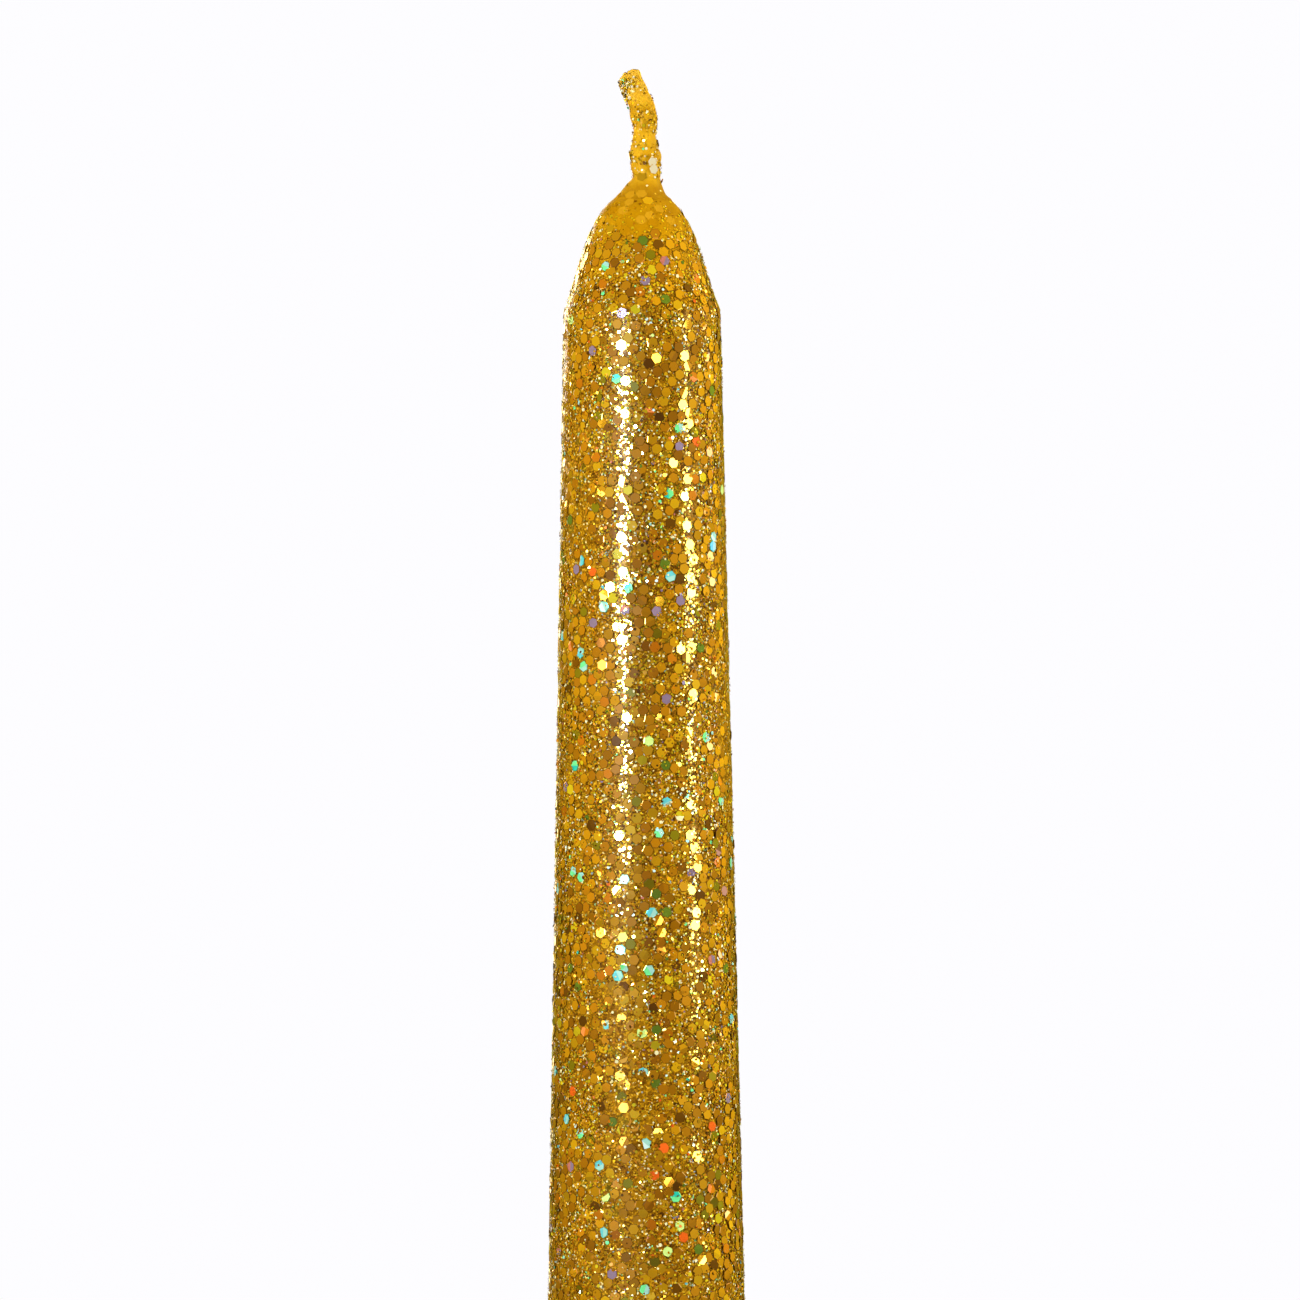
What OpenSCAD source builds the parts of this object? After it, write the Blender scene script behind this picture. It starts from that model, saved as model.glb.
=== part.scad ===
// Dipped taper candle with a glitter lacquer.
// A pressed ivory wax rod carries a plaited cotton wick through its centre.
// A gold wax skin is dipped over the rod, and a clear lacquer film with
// hexagonal glitter flakes covers the skin. The wick's free end is stiff with
// gold wax and can be bent where it leaves the tip.
// Millimetres. Origin at the centre of the cut base, +Z up the candle.

/* [Candle] */
// Height of the wax from the cut base to the neck
wax_h = 240; // [160:1:300]
// Diameter of the straight butt that stands in a holder
butt_d = 21.6; // [20:0.1:24]
// Length of the straight butt
butt_h = 18; // [10:1:30]
// Diameter at the shoulder, where the pointed tip begins
shoulder_d = 13.1; // [11:0.1:16]
// Length of the pointed tip
tip_h = 10.7; // [8:0.1:16]
// Fullness of the tip's curve, 0.5 being a parabola
tip_power = 0.45; // [0.4:0.01:0.55]
// Bevel round the cut base
base_bevel = 0.5; // [0.2:0.1:1]

/* [Layers] */
// Thickness of the gold wax skin
skin_t = 0.7; // [0.4:0.05:1.2]
// Thickness of the clear lacquer film that holds the glitter
film_t = 0.2; // [0.12:0.01:0.4]

/* [Wick] */
// Diameter of the wick's passage through the wax
bore_d = 2.2; // [2:0.1:3]
// Thickness of one cotton strand
strand_d = 0.42; // [0.34:0.02:0.42]
// How far a strand swings to each side as it is plaited
plait_w = 0.55; // [0.55:0.01:0.62]
// Length of the wick in which a strand swings once over and back
plait_pitch = 14; // [10:0.5:18]

/* [Wick bend] */
// Radius of the rounded root that the free end turns on
root_r = 1.15; // [1:0.05:1.3]
// Gap between the root and its seat in the tip
root_gap = 0.05; // [0.03:0.01:0.1]

/* [Glitter] */
// Large flake, measured across its flats
flake_w = 0.88; // [0.6:0.02:1.2]
// Thickness of a flake
flake_t = 0.05; // [0.03:0.01:0.08]
// Large flakes held as solids, spread evenly over the candle
flake_n = 720; // [100:20:1000]
// Large flakes caught on the free end of the wick
wick_flake_n = 7; // [3:1:9]

/* [Hidden] */
$fn = 96;

IVORY = [0.93, 0.88, 0.76];
GOLD_WAX = [0.86, 0.60, 0.07];
LACQUER = [0.90, 0.66, 0.14, 0.6];
FLAKE = [1.0, 0.80, 0.28];
COTTON = [0.90, 0.87, 0.80];

shoulder_z = wax_h - tip_h;
bore_r = bore_d / 2;
skin_in = film_t;                // inset of the skin's outer face
core_in = film_t + skin_t;       // inset of the rod's outer face
core_end_r = bore_r + 0.7;       // the rod stops at a small land round the wick
skin_end_r = bore_r + 0.5;       // the skin closes in to the neck
film_end_r = bore_r + 0.7;       // the film thins out just below the neck
steps = 22;                      // rings along the tip's curve

// Layers drop below the outer tip as they go in, because the tip is blunt.
function apex_z(inset) = wax_h - 1.5 * inset;
function shoulder_r(inset) = shoulder_d / 2 - inset;
// Height on a layer's tip at which its radius is r.
function tip_z(inset, r) =
    apex_z(inset) - (apex_z(inset) - shoulder_z)
        * pow(r / shoulder_r(inset), 1 / tip_power);
// Radius of a layer at height z, below the neck.
function layer_r(inset, z) =
    z <= butt_h ? butt_d / 2 - inset
    : z <= shoulder_z ? butt_d / 2 - inset
        - (butt_d - shoulder_d) / 2 * (z - butt_h) / (shoulder_z - butt_h)
    : shoulder_r(inset) * pow((apex_z(inset) - z) / (apex_z(inset) - shoulder_z), tip_power);
// Outline of a layer's tip, from the shoulder in to radius r_end.
function tip_line(inset, r_end) = [
    for (i = [0 : steps])
        let (r = shoulder_r(inset) + (r_end - shoulder_r(inset)) * i / steps)
        [r, tip_z(inset, r)]
];
function reversed(list) = [for (i = [len(list) - 1 : -1 : 0]) list[i]];

neck_z = tip_z(skin_in, skin_end_r);
hinge_z = wax_h;
seat_r = root_r + root_gap;
strand_top_z = hinge_z - seat_r - 0.1;

// Centre line of the wick's free end at rest: [x, z above the root's axis, wax radius].
END = [
    [0.00, 0.0, 1.00], [0.10, 0.8, 1.06], [0.22, 1.6, 1.18], [0.28, 2.6, 1.20],
    [0.26, 3.6, 1.10], [0.25, 4.4, 1.02], [0.19, 5.4, 1.08], [0.06, 6.2, 1.12],
    [-0.18, 7.0, 1.14], [-0.50, 7.7, 1.12], [-0.80, 8.3, 1.08], [-1.02, 8.75, 1.02]
];

// A tube of rings round a line in the XZ plane. rings holds
// [centre, in-plane normal, half width in plane, half depth along Y].
module tube(rings, sides) {
    n = len(rings);
    points = [
        for (g = rings, k = [0 : sides - 1])
            let (a = 360 * k / sides)
            g[0] + g[1] * (g[2] * cos(a)) + [0, g[3] * sin(a), 0]
    ];
    faces = [
        [for (k = [0 : sides - 1]) k],
        [for (k = [sides - 1 : -1 : 0]) (n - 1) * sides + k],
        for (i = [0 : n - 2], k = [0 : sides - 1])
            let (a = i * sides + k, b = i * sides + (k + 1) % sides)
            each [[a, a + sides, b + sides], [a, b + sides, b]]
    ];
    polyhedron(points = points, faces = faces, convexity = 6);
}

// The free end's line at parameter s from 0 to len(END) - 1: point, normal, wax radius.
function lerp(a, b, t) = a + (b - a) * t;
function smooth(a, b, c, d, t) =
    0.5 * (2 * b + (c - a) * t + (2 * a - 5 * b + 4 * c - d) * t * t
        + (3 * b - a - 3 * c + d) * t * t * t);
function end_at(s) =
    let (n = len(END) - 1, i = min(floor(s), n - 1), t = s - i)
    smooth(END[max(i - 1, 0)], END[i], END[i + 1], END[min(i + 2, n)], t);
function end_point(s) = let (p = end_at(s)) [p[0], 0, hinge_z + p[1]];
function end_normal(s) =
    let (
        n = len(END) - 1,
        d = end_point(min(s + 0.05, n)) - end_point(max(s - 0.05, 0)),
        l = norm(d)
    ) [d[2] / l, 0, -d[0] / l];

// Place of strand i of the plait where the phase is f: across, and along Y.
function plait_x(f, i) = plait_w * sin(f + 120 * i);
function plait_y(f, i) = plait_w / 2 * sin(2 * (f + 120 * i));

// One strand of the plait inside the wax.
module strand(i) {
    n = ceil(strand_top_z / (plait_pitch / 18));
    rings = [
        for (k = [0 : n])
            let (z = strand_top_z * k / n, f = 360 * z / plait_pitch)
            [[plait_x(f, i), plait_y(f, i), z], [1, 0, 0], strand_d / 2, strand_d / 2]
    ];
    color(COTTON) tube(rings, 6);
}

// The same strand where it runs on through the free end.
module end_strand(i) {
    last = len(END) - 1;
    rings = [
        for (k = [0 : 22])
            let (
                s = last * k / 22,
                p = end_point(s),
                nrm = end_normal(s),
                f = 360 * p[2] / plait_pitch
            )
            [p + nrm * plait_x(f, i) + [0, plait_y(f, i), 0], nrm, strand_d / 2, strand_d / 2]
    ];
    color(COTTON) tube(rings, 6);
}

// Rings of the free end's wax, shrunk to width w and depth d where those are given.
function end_rings(w = 0, d = 0, over = 0) = [
    for (k = [0 : 20])
        let (
            last = len(END) - 1,
            s = last * k / 20,
            nrm = end_normal(s),
            along = [-nrm[2], 0, nrm[0]],
            p = end_point(s) + along * (k == 20 ? over : k == 0 ? -over : 0)
        )
        [p, nrm, w > 0 ? w : end_at(s)[2], d > 0 ? d : 0.94 * end_at(s)[2]]
];

module root_cylinder(r, h) {
    translate([0, 0, hinge_z]) rotate([90, 0, 0]) cylinder(r = r, h = h, center = true);
}

// Ivory wax rod with the wick's passage.
module wax_core() {
    line = concat(
        [[layer_r(core_in, 0), 0], [layer_r(core_in, 0), butt_h]],
        tip_line(core_in, core_end_r)
    );
    color(IVORY) rotate_extrude()
        polygon(concat([[bore_r, 0]], line, [[bore_r, tip_z(core_in, core_end_r)]]));
}

// Gold wax skin, dipped over the rod and closed in round the wick at the neck.
module gold_wax_skin() {
    inner = concat(
        [[layer_r(core_in, 0), 0], [layer_r(core_in, 0), butt_h]],
        tip_line(core_in, core_end_r),
        [[bore_r, tip_z(core_in, core_end_r)]]
    );
    outer = concat(
        [[layer_r(skin_in, 0) - base_bevel, 0], [layer_r(skin_in, 0), base_bevel],
         [layer_r(skin_in, 0), butt_h]],
        tip_line(skin_in, skin_end_r)
    );
    color(GOLD_WAX) difference() {
        rotate_extrude()
            polygon(concat(outer, [[bore_r, neck_z]], reversed(inner)));
        root_cylinder(seat_r, 2 * bore_r + 0.1);
    }
}

// Clear lacquer film over the skin, from above the base's bevel to below the neck.
module lacquer_film() {
    inner = concat(
        [[layer_r(skin_in, 0), base_bevel], [layer_r(skin_in, 0), butt_h]],
        tip_line(skin_in, film_end_r)
    );
    outer = concat(
        [[layer_r(0, 0), base_bevel], [layer_r(0, 0), butt_h]],
        tip_line(0, film_end_r + 0.3)
    );
    color(LACQUER) rotate_extrude() polygon(concat(outer, reversed(inner)));
}

function fraction(x) = x - floor(x);
function scatter(i, k) = fraction(sin(i * 37.7 + k * 71.3) * 431.17);

module flake(spin) {
    rotate(spin) linear_extrude(flake_t) circle(r = flake_w / sqrt(3), $fn = 6);
}

// Large flakes lying in the film, spread on a golden-angle spiral.
module glitter_flakes() {
    low = 2;
    high = shoulder_z - 1;
    lean = atan((butt_d - shoulder_d) / 2 / (shoulder_z - butt_h));
    // equal areas: the radius falls evenly with height, so the share of height is a root
    ra = butt_d / 2;
    rb = shoulder_d / 2;
    color(FLAKE) for (i = [0 : flake_n - 1]) {
        q = (i + 0.5) / flake_n;
        t = (ra - sqrt(ra * ra - q * (ra * ra - rb * rb))) / (ra - rb);
        z = low + (high - low) * t;
        rotate(137.508 * i)
            translate([layer_r(0, z) - film_t * 0.75, 0, z])
                rotate([0, 90 - (z > butt_h ? lean : 0), 0])
                    flake(360 * scatter(i, 1));
    }
}

// Gold wax that stiffens the wick's free end, with the rounded root it turns on.
module wick_end_wax() {
    color(GOLD_WAX) difference() {
        union() {
            tube(end_rings(), 14);
            root_cylinder(root_r, 1.9);
        }
        tube(end_rings(plait_w + strand_d / 2 + 0.1, plait_w / 2 + strand_d / 2 + 0.135, 1.5), 14);
    }
}

// Large flakes caught in the wax of the free end.
module wick_end_flakes() {
    color(FLAKE) for (i = [0 : wick_flake_n - 1]) {
        s = 1.4 + 7.5 * pow(i / wick_flake_n, 1.4);
        p = end_point(s);
        r = 0.94 * end_at(s)[2] - 0.09;
        translate(p) rotate(137.508 * i - 60) translate([r, 0, 0])
            rotate([0, 90, 0]) scale(0.8) flake(360 * scatter(i, 5));
    }
}

wax_core();
gold_wax_skin();
lacquer_film();
glitter_flakes();
strand(0);  // wick_strand_left
strand(1);  // wick_strand_middle
strand(2);  // wick_strand_right
end_strand(0);  // wick_end_strand_left
end_strand(1);  // wick_end_strand_middle
end_strand(2);  // wick_end_strand_right
wick_end_wax();
wick_end_flakes();
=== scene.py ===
import math

import bpy
import numpy as np
from mathutils import Matrix, Vector

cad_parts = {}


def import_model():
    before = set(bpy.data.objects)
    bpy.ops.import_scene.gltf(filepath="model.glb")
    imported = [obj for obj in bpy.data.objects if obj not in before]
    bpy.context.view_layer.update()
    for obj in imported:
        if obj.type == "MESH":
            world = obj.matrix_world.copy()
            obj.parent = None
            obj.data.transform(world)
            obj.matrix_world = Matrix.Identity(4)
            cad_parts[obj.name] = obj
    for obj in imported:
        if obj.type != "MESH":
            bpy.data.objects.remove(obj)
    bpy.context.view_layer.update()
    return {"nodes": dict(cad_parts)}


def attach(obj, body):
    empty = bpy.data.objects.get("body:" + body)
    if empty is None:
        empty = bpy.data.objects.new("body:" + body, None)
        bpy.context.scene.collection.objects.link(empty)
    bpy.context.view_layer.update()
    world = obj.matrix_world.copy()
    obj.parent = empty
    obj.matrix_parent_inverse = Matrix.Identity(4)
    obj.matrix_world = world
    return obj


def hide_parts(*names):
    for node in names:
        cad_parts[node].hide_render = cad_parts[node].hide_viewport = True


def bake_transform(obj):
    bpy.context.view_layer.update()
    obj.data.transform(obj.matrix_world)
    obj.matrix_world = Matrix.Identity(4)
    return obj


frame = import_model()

MM = 0.001
rng = np.random.default_rng(2611)

# ---------------------------------------------------------------- shape of the wax, in mm
WAX_H = 240.0
BUTT_H, BUTT_R = 18.0, 10.8
SHOULDER_Z, SHOULDER_R = 229.0, 6.55
# the tip, from the shoulder up to the neck: depth below the neck, radius
TIP = [
    (11.0, 6.55), (10.7, 6.49), (10.2, 6.34), (9.7, 6.15), (9.2, 5.97), (8.7, 5.81),
    (7.7, 5.51), (6.7, 5.21), (5.7, 4.90), (4.7, 4.53), (3.7, 4.07), (3.2, 3.80),
    (2.7, 3.50), (2.2, 3.14), (1.7, 2.70), (1.2, 2.22), (0.7, 1.82), (0.3, 1.55),
    (0.0, 1.42), (-0.4, 1.32),
]
_PZ = np.array([0.0, BUTT_H, 70.0, 120.0, 170.0, 210.0] + [WAX_H - d for d, _ in TIP])
_PR = np.array(
    [BUTT_R, BUTT_R]
    + [BUTT_R - (BUTT_R - SHOULDER_R) * (z - BUTT_H) / (SHOULDER_Z - BUTT_H) for z in (70.0, 120.0, 170.0, 210.0)]
    + [r for _, r in TIP]
)


def radius(z):
    """Radius of the lacquer under the flakes at height z: the flakes stand proud of it, up to the outer size."""
    return np.interp(z, _PZ, _PR) - 0.06 * np.clip((236.6 - np.asarray(z)) / 1.6, 0, 1)


def slope_angle(z):
    """Angle of the face's normal above the horizontal, in radians."""
    d = 0.35
    return np.arctan2(radius(z - d) - radius(z + d), 2 * d)


# centre line of the free end of the wick: x, z, radius of its wax
WICK = [
    (0.00, 237.6, 3.28), (0.01, 237.9, 3.05), (0.04, 238.2, 2.77), (0.10, 238.5, 2.49), (0.18, 238.9, 2.08),
    (0.27, 239.3, 1.75), (0.35, 239.7, 1.48), (0.40, 240.0, 1.29), (0.42, 240.3, 1.17), (0.42, 240.7, 1.19),
    (0.41, 241.2, 1.24), (0.38, 241.8, 1.25), (0.31, 242.4, 1.21), (0.26, 242.9, 1.10),
    (0.26, 243.4, 1.02), (0.30, 244.1, 0.97), (0.31, 244.7, 0.99), (0.25, 245.4, 1.05),
    (0.10, 246.1, 1.06), (-0.12, 246.75, 1.06), (-0.38, 247.35, 1.05), (-0.62, 247.9, 1.02),
    (-0.84, 248.4, 0.97), (-0.98, 248.75, 0.93),
]


# ---------------------------------------------------------------- helpers
def new_mesh(name, co, faces_flat, face_sizes, mat_index=None, smooth=False):
    """A mesh object from arrays: co in metres (n, 3), one flat list of corner indices, and each face's corner count."""
    me = bpy.data.meshes.new(name)
    co = np.asarray(co, np.float32)
    faces_flat = np.asarray(faces_flat, np.int32)
    face_sizes = np.asarray(face_sizes, np.int32)
    me.vertices.add(len(co))
    me.vertices.foreach_set("co", co.ravel())
    me.loops.add(len(faces_flat))
    me.loops.foreach_set("vertex_index", faces_flat)
    me.polygons.add(len(face_sizes))
    start = np.concatenate([[0], np.cumsum(face_sizes)[:-1]]).astype(np.int32)
    me.polygons.foreach_set("loop_start", start)
    me.polygons.foreach_set("loop_total", face_sizes)
    if mat_index is not None:
        me.polygons.foreach_set("material_index", np.asarray(mat_index, np.int32))
    me.polygons.foreach_set("use_smooth", np.full(len(face_sizes), smooth, bool))
    me.update(calc_edges=True)
    me.validate()
    ob = bpy.data.objects.new(name, me)
    bpy.context.scene.collection.objects.link(ob)
    return ob


def grid_faces(rows, cols, closed=True):
    """Quads over rows of cols points each."""
    i, j = np.meshgrid(np.arange(rows - 1), np.arange(cols), indexing="ij")
    a = i * cols + j
    b = i * cols + (j + 1) % cols
    q = np.stack([a, b, b + cols, a + cols], -1).reshape(-1, 4)
    return q


class Nodes:
    """Short names for building a node tree."""

    def __init__(self, tree):
        self.tree = tree

    def add(self, kind, **values):
        n = self.tree.nodes.new(kind)
        for k, v in values.items():
            setattr(n, k, v)
        return n

    def link(self, a, b):
        self.tree.links.new(a, b)

    def math(self, op, a, b=None, c=None, clamp=False):
        n = self.add("ShaderNodeMath", operation=op, use_clamp=clamp)
        for s, v in zip(n.inputs, (a, b, c)):
            if v is None:
                continue
            if isinstance(v, (int, float)):
                s.default_value = v
            else:
                self.link(v, s)
        return n.outputs[0]

    def vmath(self, op, a, b=None, scale=None):
        n = self.add("ShaderNodeVectorMath", operation=op)
        for s, v in zip(n.inputs, (a, b)):
            if v is None:
                continue
            if isinstance(v, tuple):
                s.default_value = v
            else:
                self.link(v, s)
        if scale is not None:
            if isinstance(scale, (int, float)):
                n.inputs["Scale"].default_value = scale
            else:
                self.link(scale, n.inputs["Scale"])
        return n.outputs[0]

    def ramp(self, value, stops, mode="LINEAR"):
        n = self.add("ShaderNodeValToRGB")
        n.color_ramp.interpolation = mode
        el = n.color_ramp.elements
        while len(el) < len(stops):
            el.new(0.5)
        for e, (p, c) in zip(el, stops):
            e.position = p
            e.color = (*c, 1.0) if len(c) == 3 else c
        self.link(value, n.inputs[0])
        return n.outputs[0]

    def mix(self, factor, a, b, blend="MIX"):
        n = self.add("ShaderNodeMix", data_type="RGBA", blend_type=blend)
        if isinstance(factor, (int, float)):
            n.inputs["Factor"].default_value = factor
        else:
            self.link(factor, n.inputs["Factor"])
        for s, v in ((n.inputs[6], a), (n.inputs[7], b)):
            if isinstance(v, tuple):
                s.default_value = (*v, 1.0) if len(v) == 3 else v
            else:
                self.link(v, s)
        return n.outputs[2]

    def span(self, value, lo, hi, to_lo=0.0, to_hi=1.0, smooth=False):
        n = self.add("ShaderNodeMapRange", clamp=True)
        if smooth:
            n.interpolation_type = "SMOOTHSTEP"
        self.link(value, n.inputs["Value"])
        n.inputs["From Min"].default_value = lo
        n.inputs["From Max"].default_value = hi
        n.inputs["To Min"].default_value = to_lo
        n.inputs["To Max"].default_value = to_hi
        return n.outputs["Result"]


def material(name):
    m = bpy.data.materials.new(name)
    m.use_nodes = True
    t = m.node_tree
    return m, Nodes(t), t.nodes["Principled BSDF"]


def coords_mm(n):
    """Object coordinates in millimetres."""
    tc = n.add("ShaderNodeTexCoord")
    return n.vmath("SCALE", tc.outputs["Object"], scale=1000.0)


# ---------------------------------------------------------------- materials
LACQUER, LACQUER_ROUGH = 0.13, 0.38


def make_coat():
    """Lacquer full of fine glitter over amber wax; the glitter thins out on the tip."""
    m, n, p = material("glitter_lacquer")
    mm = coords_mm(n)
    xyz = n.add("ShaderNodeSeparateXYZ")
    n.link(mm, xyz.inputs[0])
    # fine grains: each cell is one flake with its own tone and its own tilt
    cells = n.add("ShaderNodeTexVoronoi", voronoi_dimensions="3D", feature="F1")
    cells.inputs["Scale"].default_value = 7.4
    cells.inputs["Randomness"].default_value = 1.0
    n.link(mm, cells.inputs["Vector"])
    rgb = n.add("ShaderNodeSeparateColor")
    n.link(cells.outputs["Color"], rgb.inputs[0])
    tone = n.ramp(rgb.outputs[0], [
        (0.00, (0.028, 0.010, 0.0004)), (0.18, (0.062, 0.024, 0.0006)), (0.38, (0.11, 0.046, 0.0008)),
        (0.60, (0.175, 0.078, 0.0012)), (0.76, (0.27, 0.135, 0.003)), (0.88, (0.40, 0.23, 0.012)),
        (0.945, (0.54, 0.45, 0.18)), (0.965, (0.34, 0.11, 0.01)), (0.98, (0.08, 0.26, 0.12)),
        (0.99, (0.10, 0.22, 0.25)),
    ], "CONSTANT")
    # larger flakes lying deeper under the lacquer, seen only as faint hexagon-sized patches
    deep = n.add("ShaderNodeTexVoronoi", voronoi_dimensions="3D", feature="F1")
    deep.inputs["Scale"].default_value = 1.15
    n.link(mm, deep.inputs["Vector"])
    dsep = n.add("ShaderNodeSeparateColor")
    n.link(deep.outputs["Color"], dsep.inputs[0])
    dtone = n.ramp(dsep.outputs[1], [
        (0.0, (0.075, 0.028, 0.0008)), (0.25, (0.13, 0.052, 0.001)), (0.5, (0.18, 0.08, 0.0015)),
        (0.78, (0.23, 0.11, 0.003)), (0.93, (0.085, 0.07, 0.003)),
    ], "CONSTANT")
    glitter = n.mix(0.36, tone, dtone)
    # amber wax that shows where the glitter is thin
    soft = n.add("ShaderNodeTexNoise")
    soft.inputs["Scale"].default_value = 0.55
    soft.inputs["Detail"].default_value = 4.0
    n.link(mm, soft.inputs["Vector"])
    wax = n.ramp(soft.outputs["Fac"], [
        (0.30, (0.182, 0.079, 0.0003)), (0.55, (0.219, 0.100, 0.0005)), (0.75, (0.255, 0.123, 0.001)),
    ])
    # cover: 1 where glitter is full, falling towards the neck
    fade = n.span(xyz.outputs[2], 229.0, 236.2, 1.10, 0.0)
    patch = n.add("ShaderNodeTexNoise")
    patch.inputs["Scale"].default_value = 0.9
    patch.inputs["Detail"].default_value = 3.0
    n.link(mm, patch.inputs["Vector"])
    gate = n.math("ADD", fade, n.span(patch.outputs["Fac"], 0.3, 0.7, -0.24, 0.16))
    cover = n.math("GREATER_THAN", gate, rgb.outputs[2])
    colour = n.mix(cover, wax, glitter)
    n.link(colour, p.inputs["Base Color"])
    n.link(n.span(cover, 0.0, 1.0, 0.0, 0.08), p.inputs["Metallic"])
    n.link(n.span(cover, 0.0, 1.0, 0.34, 0.06), p.inputs["Roughness"])
    # tilt of each fine flake
    geo = n.add("ShaderNodeNewGeometry")
    tilt = n.vmath("SUBTRACT", cells.outputs["Color"], (0.5, 0.5, 0.5))
    tilt = n.vmath("SCALE", tilt, scale=n.span(cover, 0.0, 1.0, 0.04, 0.20))
    dtilt = n.vmath("SUBTRACT", deep.outputs["Color"], (0.5, 0.5, 0.5))
    dtilt = n.vmath("SCALE", dtilt, scale=0.06)
    turned = n.vmath("ADD", geo.outputs["Normal"], n.vmath("ADD", tilt, dtilt))
    turned = n.vmath("NORMALIZE", turned)
    n.link(turned, p.inputs["Normal"])
    p.inputs["Specular Tint"].default_value = (0.85, 0.50, 0.03, 1.0)
    p.inputs["Specular IOR Level"].default_value = 0.02
    # the lacquer itself is smooth: it draws each light as a white line over the glitter
    n.link(n.span(cover, 0.0, 1.0, 0.02, 0.045), p.inputs["Coat Weight"])
    p.inputs["Coat Roughness"].default_value = 0.2
    p.inputs["Coat IOR"].default_value = 1.5
    return m


def make_wick_wax():
    """Opaque golden wax on the wick: uneven, slightly fibrous along the plait, with small dark specks."""
    m, n, p = material("wick_gold_wax")
    mm = coords_mm(n)
    soft = n.add("ShaderNodeTexNoise")
    soft.inputs["Scale"].default_value = 0.8
    soft.inputs["Detail"].default_value = 5.0
    n.link(mm, soft.inputs["Vector"])
    xyz = n.add("ShaderNodeSeparateXYZ")
    n.link(mm, xyz.inputs[0])
    wax = n.ramp(soft.outputs["Fac"], [
        (0.28, (0.233, 0.112, 0.0023)), (0.5, (0.282, 0.145, 0.0036)), (0.72, (0.331, 0.182, 0.0063)),
    ])
    low = n.ramp(soft.outputs["Fac"], [
        (0.30, (0.162, 0.068, 0.0003)), (0.55, (0.193, 0.085, 0.0004)), (0.75, (0.226, 0.106, 0.0008)),
    ])
    wax = n.mix(n.span(xyz.outputs[2], 238.2, 241.0, 0.0, 1.0, True), low, wax)
    # the wax is thinner and paler towards the cut end
    wax = n.mix(n.span(xyz.outputs[2], 245.8, 248.6, 0.0, 0.45, True), wax, (0.36, 0.21, 0.022))
    # small dark brown specks and glitter dust
    dust = n.add("ShaderNodeTexVoronoi", voronoi_dimensions="3D", feature="F1")
    dust.inputs["Scale"].default_value = 4.2
    n.link(mm, dust.inputs["Vector"])
    ds = n.add("ShaderNodeSeparateColor")
    n.link(dust.outputs["Color"], ds.inputs[0])
    where = n.add("ShaderNodeTexNoise")
    where.inputs["Scale"].default_value = 0.55
    n.link(mm, where.inputs["Vector"])
    few = n.math("MULTIPLY", n.math("GREATER_THAN", ds.outputs[0], n.span(where.outputs["Fac"], 0.44, 0.64, 0.995, 0.76)),
                 n.math("LESS_THAN", dust.outputs["Distance"], 0.42))
    grains = n.ramp(ds.outputs[1], [
        (0.0, (0.12, 0.048, 0.002)), (0.30, (0.20, 0.085, 0.003)), (0.55, (0.40, 0.24, 0.02)), (0.78, (0.50, 0.42, 0.20)),
        (0.94, (0.34, 0.40, 0.30)),
    ], "CONSTANT")
    n.link(n.mix(few, wax, grains), p.inputs["Base Color"])
    n.link(n.span(few, 0.0, 1.0, 0.0, 0.2), p.inputs["Metallic"])
    n.link(n.span(xyz.outputs[2], 238.0, 240.4, 0.34, 0.5), p.inputs["Roughness"])
    bump = n.add("ShaderNodeBump")
    bump.inputs["Strength"].default_value = 0.6
    bump.inputs["Distance"].default_value = 0.00014
    fine = n.add("ShaderNodeTexNoise")
    fine.inputs["Scale"].default_value = 2.2
    fine.inputs["Detail"].default_value = 6.0
    n.link(mm, fine.inputs["Vector"])
    n.link(fine.outputs["Fac"], bump.inputs["Height"])
    n.link(bump.outputs[0], p.inputs["Normal"])
    p.inputs["Subsurface Weight"].default_value = 0.15
    p.inputs["Subsurface Radius"].default_value = (1.0, 0.5, 0.1)
    p.inputs["Subsurface Scale"].default_value = 0.0006
    p.inputs["Specular IOR Level"].default_value = 0.03
    p.inputs["Specular Tint"].default_value = (0.85, 0.50, 0.03, 1.0)
    p.inputs["Coat Weight"].default_value = 0.02
    p.inputs["Coat Roughness"].default_value = 0.2
    return m


def make_skin_wax():
    m, n, p = material("gold_wax")
    mm = coords_mm(n)
    soft = n.add("ShaderNodeTexNoise")
    soft.inputs["Scale"].default_value = 0.5
    soft.inputs["Detail"].default_value = 5.0
    n.link(mm, soft.inputs["Vector"])
    n.link(n.ramp(soft.outputs["Fac"], [
        (0.3, (0.46, 0.19, 0.003)), (0.55, (0.58, 0.26, 0.006)), (0.75, (0.68, 0.33, 0.014)),
    ]), p.inputs["Base Color"])
    n.link(n.span(soft.outputs["Fac"], 0.3, 0.7, 0.28, 0.44), p.inputs["Roughness"])
    bump = n.add("ShaderNodeBump")
    bump.inputs["Strength"].default_value = 0.4
    bump.inputs["Distance"].default_value = 0.0001
    n.link(soft.outputs["Fac"], bump.inputs["Height"])
    n.link(bump.outputs[0], p.inputs["Normal"])
    p.inputs["Subsurface Weight"].default_value = 0.2
    p.inputs["Subsurface Radius"].default_value = (1.0, 0.5, 0.1)
    p.inputs["Subsurface Scale"].default_value = 0.0008
    return m


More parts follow.
